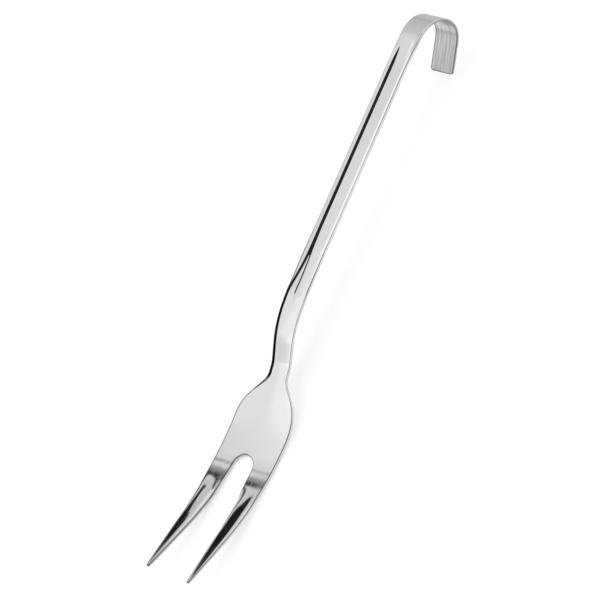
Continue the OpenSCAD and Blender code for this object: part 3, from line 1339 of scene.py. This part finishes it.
    def build(self) -> list[bpy.types.Object]:
        """Builds the fork.

        Returns:
            Its seven pieces.
        """
        pressing = self.press()
        pieces = [
            self.cut(pressing, "hook_leg", Stretch.HOOK_LEG),
            self.cut(pressing, "hook_bend", Stretch.HOOK_BEND),
            self.cut(pressing, "handle", Stretch.HANDLE),
            self.cut(pressing, "neck", Stretch.NECK),
            self.cut(pressing, "blade", Stretch.BLADE),
            self.cut(pressing, "tine_left", Stretch.TINES, -1),
            self.cut(pressing, "tine_right", Stretch.TINES, 1),
        ]
        bpy.data.objects.remove(pressing, do_unlink=True)
        return pieces


@dataclass(frozen=True)
class Panel:
    """One soft-edged panel of the light tent, given by the directions that it fills, in degrees.

    The turn goes round the fork's length: 0 is straight above it, and the camera's side is positive.
    The lean goes along the fork, positive towards the hook.
    """

    turn: tuple[float, float]
    lean: tuple[float, float]
    level: float
    soft: float


@dataclass(frozen=True)
class LightTent:
    """White cloth on all sides, with darker openings, which the polished steel mirrors."""

    cloth: float = 0.77
    panels: tuple[Panel, ...] = (
        Panel(turn=(-180, 12), lean=(-80, -24), level=0.87, soft=6),
        Panel(turn=(-180, 12), lean=(-28, 0), level=0.89, soft=8),
        Panel(turn=(-95, -41), lean=(-34, 5.5), level=1.0, soft=3.5),
        Panel(turn=(-95, -54), lean=(-34, 4), level=1.12, soft=5),
        Panel(turn=(-95, -58), lean=(0, 15), level=1.08, soft=3),
        Panel(turn=(-60, -44), lean=(-46, -36), level=0.77, soft=6),
        Panel(turn=(-22, 40), lean=(8, 60), level=0.93, soft=6),
        Panel(turn=(-95, -30), lean=(16, 60), level=0.62, soft=5),
        Panel(turn=(-180, -50), lean=(38, 95), level=0.56, soft=6),
        Panel(turn=(-130, -72), lean=(-95, -47), level=0.36, soft=6),
        Panel(turn=(13, 84), lean=(-95, 14), level=0.02, soft=4),
        Panel(turn=(-97, -87), lean=(-95, 95), level=0.05, soft=3),
    )

    def panel_mask(self) -> bpy.types.NodeTree:
        """Builds the group that says how far a direction lies within a panel.

        Returns:
            The group.
        """
        edges = {"Turn From": 0.0, "Turn To": 0.0, "Lean From": 0.0, "Lean To": 0.0}
        group, bench, given, leave = new_group("panel_mask", {"Turn": 0.0, "Lean": 0.0, **edges, "Soft": 1.0})
        within = []
        for angle in ("Turn", "Lean"):
            past = bench.math("SUBTRACT", given[angle], given[angle + " From"])
            short = bench.math("SUBTRACT", given[angle + " To"], given[angle])
            within.append(bench.math("MINIMUM", past, short))
        inside = bench.math("DIVIDE", bench.math("MINIMUM", *within), given["Soft"])
        bench.feed(leave, {"Mask": bench.rise(inside, -1.0, 1.0)})
        return group

    def level(self, bench: Bench) -> bpy.types.NodeSocket:
        """Works out how bright the tent is in each direction.

        Args:
            bench: The world's own nodes.

        Returns:
            The brightness.
        """
        place = bench.add("TexCoord").outputs["Generated"]
        split = bench.add("SeparateXYZ", {0: place}).outputs
        turn = bench.math("ARCTAN2", bench.math("MULTIPLY", split["Y"], -1.0), split["Z"])
        turn = bench.math("DEGREES", turn)
        lean = bench.math("DEGREES", bench.math("ARCSINE", split["X"]))
        group = self.panel_mask()
        level: object = self.cloth
        for panel in self.panels:
            values = {"Turn": turn, "Lean": lean, "Soft": panel.soft}
            values |= {"Turn From": panel.turn[0], "Turn To": panel.turn[1]}
            values |= {"Lean From": panel.lean[0], "Lean To": panel.lean[1]}
            mask = bench.placed(group, values).outputs["Mask"]
            level = bench.add("Mix", {0: mask, 2: level, 3: panel.level}).outputs[0]
        return level


@dataclass(frozen=True)
class TineCard:
    """A sector of a ring of card that stands across the fork above its neck and faces the tines.

    Only the polish of the tines mirrors it: it throws no shadow and is not seen itself. Its reaches from
    the fork's middle line are in metres, and its turns from straight above in degrees.
    """

    name: str
    reach: tuple[float, float]
    turn: tuple[float, float]
    stops: tuple[tuple[float, float], ...]
    stands_at: float = -0.025
    rows: int = 24

    def build(self) -> bpy.types.Object:
        """Builds the card.

        Returns:
            The card.
        """
        bpy.ops.object.select_all(action="DESELECT")
        bpy.ops.mesh.primitive_grid_add(x_subdivisions=self.rows, y_subdivisions=2, size=1.0)
        card = bpy.context.object
        card.name = card.data.name = self.name
        flat = np.empty(len(card.data.vertices) * 3)
        card.data.vertices.foreach_get("co", flat)
        share = flat.reshape(-1, 3) + 0.5
        turn = np.radians(mix(self.turn[0], self.turn[1], share[:, 0]))
        reach = mix(self.reach[0], self.reach[1], share[:, 1])
        points = np.stack([0 * turn + self.stands_at, -reach * np.sin(turn), reach * np.cos(turn)], axis=1)
        card.data.vertices.foreach_set("co", points.astype(np.float32).ravel())
        card.data.update()
        if card.data.polygons[0].normal.x > 0:
            card.data.flip_normals()
        card.data.materials.append(self.finish())
        card.visible_camera = card.visible_diffuse = card.visible_shadow = False
        card.visible_transmission = card.visible_volume_scatter = False
        return card

    def finish(self) -> bpy.types.Material:
        """Builds its stripes, from its inner to its outer edge, and clears its far side.

        Returns:
            The material.
        """
        material = bpy.data.materials.new(self.name)
        material.use_nodes = True
        tree = material.node_tree
        tree.nodes.remove(tree.nodes["Principled BSDF"])
        bench = Bench(tree)
        spot = bench.add("SeparateXYZ", {0: bench.add("TexCoord").outputs["Object"]}).outputs
        flat = bench.add("CombineXYZ", {"X": spot["Y"], "Y": spot["Z"]}).outputs[0]
        reach = bench.add("VectorMath", {0: flat}, operation="LENGTH").outputs["Value"]
        values = {"Value": reach, "From Min": self.reach[0], "From Max": self.reach[1]}
        ramp = bench.add("ValToRGB", {"Fac": bench.add("MapRange", values).outputs["Result"]})
        elements = ramp.color_ramp.elements
        while len(elements) > 1:
            elements.remove(elements[-1])
        for index, (at, level) in enumerate(self.stops):
            share = (at - self.reach[0]) / (self.reach[1] - self.reach[0])
            element = elements[0] if index == 0 else elements.new(share)
            element.position = share
            element.color = (level, level, level, 1.0)
        glow = bench.add("Emission", {"Color": ramp.outputs["Color"]})
        clear = bench.add("BsdfTransparent")
        far_side = bench.add("NewGeometry").outputs["Backfacing"]
        card = bench.add("MixShader", {0: far_side, 1: glow.outputs[0], 2: clear.outputs[0]})
        bench.feed(tree.nodes["Material Output"], {"Surface": card.outputs[0]})
        return material


@dataclass
class Studio:
    """A plain white studio: a light tent, cards that the tines mirror, a white table and the camera.

    The camera stands so far from the fork, in millimetres, over a point of its middle line that lies
    before_hook ahead of the hook, moved right and up in the picture. Its lean is round the fork's length,
    its heading is the fork's in the picture, and its roll and pitch are the rest of its turn. The table
    is mirrored as white up to gloss_full along the fork, in metres, and not at all from gloss_none on.
    """

    strip: Strip
    floor_size: float = 6.0
    floor_white: float = 0.9
    floor_rough: float = 0.9
    distance: float = 1500.0
    pixels_per_mm: float = 1.7918
    lean: float = math.radians(40.0)
    heading: float = math.radians(23.25)
    roll: float = math.radians(0.46)
    pitch: float = math.radians(-7.08)
    right: float = -2.0
    up: float = 1.71
    before_hook: float = 161.64
    picture: float = 600.0
    sensor: float = 36.0
    nearest: float = 0.05
    farthest: float = 20.0
    floor_lift: float = 0.5
    gloss_full: float = 0.17
    gloss_none: float = 0.21
    tent: LightTent = field(default_factory=LightTent)
    cards: tuple[TineCard, ...] = (
        TineCard("black_card", (0.2, 0.288), (-97.0, -39.5), ((0.2, 0.012), (0.288, 0.012))),
        TineCard(
            "striped_card",
            (0.337, 0.464),
            (-80.0, -28.0),
            (
                (0.337, 0.02),
                (0.355, 0.02),
                (0.359, 0.16),
                (0.39, 0.42),
                (0.4, 0.78),
                (0.428, 0.8),
                (0.435, 0.4),
                (0.452, 0.42),
                (0.46, 0.7),
            ),
        ),
    )

    def camera_axes(self) -> Array:
        """Works out the camera's axes.

        Returns:
            Rows for its right, its up and its back, in the fork's across, along and front directions.
        """
        sine, cosine = math.sin(self.heading), math.cos(self.heading)
        along, across = np.array([sine, cosine, 0.0]), np.array([cosine, -sine, 0.0])
        towards = np.array([0.0, 0.0, 1.0])
        turn_s, turn_c = math.sin(self.roll), math.cos(self.roll)
        along, across = along * turn_c + across * turn_s, across * turn_c - along * turn_s
        width = math.cos(self.lean) * across + math.sin(self.lean) * towards
        front = -math.sin(self.lean) * across + math.cos(self.lean) * towards
        tip = np.array(Matrix.Rotation(self.pitch, 3, Vector(across)))
        return np.stack([tip @ width, tip @ along, tip @ front], axis=1)

    def to_part(self, vector: Array) -> Vector:
        """Turns a vector of the fork into the part's frame.

        Args:
            vector: Its lengths across, along and in front of the fork.

        Returns:
            The same vector in the part's frame.
        """
        across, along, front = (float(value) for value in vector)
        sine, cosine = math.sin(self.strip.level), math.cos(self.strip.level)
        return Vector((along * cosine - front * sine, -across, along * sine + front * cosine))

    def camera(self) -> bpy.types.Object:
        """Sets up the camera at the photograph's viewing angle.

        Returns:
            The camera.
        """
        axes = self.camera_axes()
        along, up, _ = self.strip.profile.pose(np.array([self.strip.hook_start]))
        eye = np.array([0.0, float(along[0]) - self.before_hook, float(up[0])])
        eye = eye + axes.T @ np.array([-self.right, -self.up, self.distance])
        data = bpy.data.cameras.new("camera")
        data.sensor_width = self.sensor
        data.lens = self.pixels_per_mm * self.distance / self.picture * self.sensor
        data.clip_start, data.clip_end = self.nearest, self.farthest
        camera = bpy.data.objects.new("camera", data)
        bpy.context.collection.objects.link(camera)
        turn = Matrix([self.to_part(axis) for axis in axes]).transposed()
        place = (self.to_part(eye) + self.strip.offset) * MM
        camera.matrix_world = Matrix.Translation(place) @ turn.to_4x4()
        bpy.context.scene.camera = camera
        return camera

    def floor(self) -> bpy.types.Object:
        """Lays the white table, which keeps the fork's shadow and is white to the eye elsewhere.

        Returns:
            The table.
        """
        bpy.ops.object.select_all(action="DESELECT")
        bpy.ops.mesh.primitive_plane_add(size=self.floor_size)
        floor = bpy.context.object
        floor.name = "floor"
        material = bpy.data.materials.new("white_table")
        material.use_nodes = True
        bench = Bench(material.node_tree)
        shader = material.node_tree.nodes["Principled BSDF"]
        white = (self.floor_white, self.floor_white, self.floor_white, 1.0)
        bench.feed(shader, {"Base Color": white, "Roughness": self.floor_rough, "Specular IOR Level": 0.0})
        path = bench.add("LightPath")
        spot = bench.add("SeparateXYZ", {0: bench.add("TexCoord").outputs["Object"]})
        near = bench.spread(spot.outputs["X"], self.gloss_full, self.gloss_none, 1.0, 0.0)
        mirrored = bench.math("MAXIMUM", path.outputs["Is Glossy Ray"], path.outputs["Is Transmission Ray"])
        seen = bench.math("MAXIMUM", path.outputs["Is Camera Ray"], bench.math("MULTIPLY", mirrored, near))
        glow = bench.add("Emission", {"Color": PURE_WHITE, "Strength": self.floor_lift})
        both = bench.add("AddShader", {0: shader.outputs[0], 1: glow.outputs[0]})
        choose = bench.add("MixShader", {0: seen, 1: shader.outputs[0], 2: both.outputs[0]})
        bench.feed(material.node_tree.nodes["Material Output"], {"Surface": choose.outputs[0]})
        floor.data.materials.append(material)
        return floor

    def world(self) -> None:
        """Puts the light tent round the table, which the camera itself sees as plain white."""
        world = bpy.data.worlds.new("light_tent")
        bpy.context.scene.world = world
        world.use_nodes = True
        bench = Bench(world.node_tree)
        sky = bench.feed(world.node_tree.nodes["Background"], {"Color": self.tent.level(bench)})
        white = bench.add("Background", {"Color": PURE_WHITE})
        to_eye = bench.add("LightPath").outputs["Is Camera Ray"]
        choose = bench.add("MixShader", {0: to_eye, 1: sky.outputs[0], 2: white.outputs[0]})
        bench.feed(world.node_tree.nodes["World Output"], {"Surface": choose.outputs[0]})

    def build(self) -> None:
        """Sets up the table, the light and the camera."""
        self.floor()
        for card in self.cards:
            card.build()
        self.world()
        self.camera()
        bpy.context.scene.view_settings.view_transform = "Standard"


def main() -> None:
    """Builds the fork and its studio."""
    logging.basicConfig(level=logging.INFO, format="%(name)s: %(message)s")
    strip = Strip()
    Pressing(strip).build()
    Studio(strip).build()


if __name__ == "__main__":
    main()
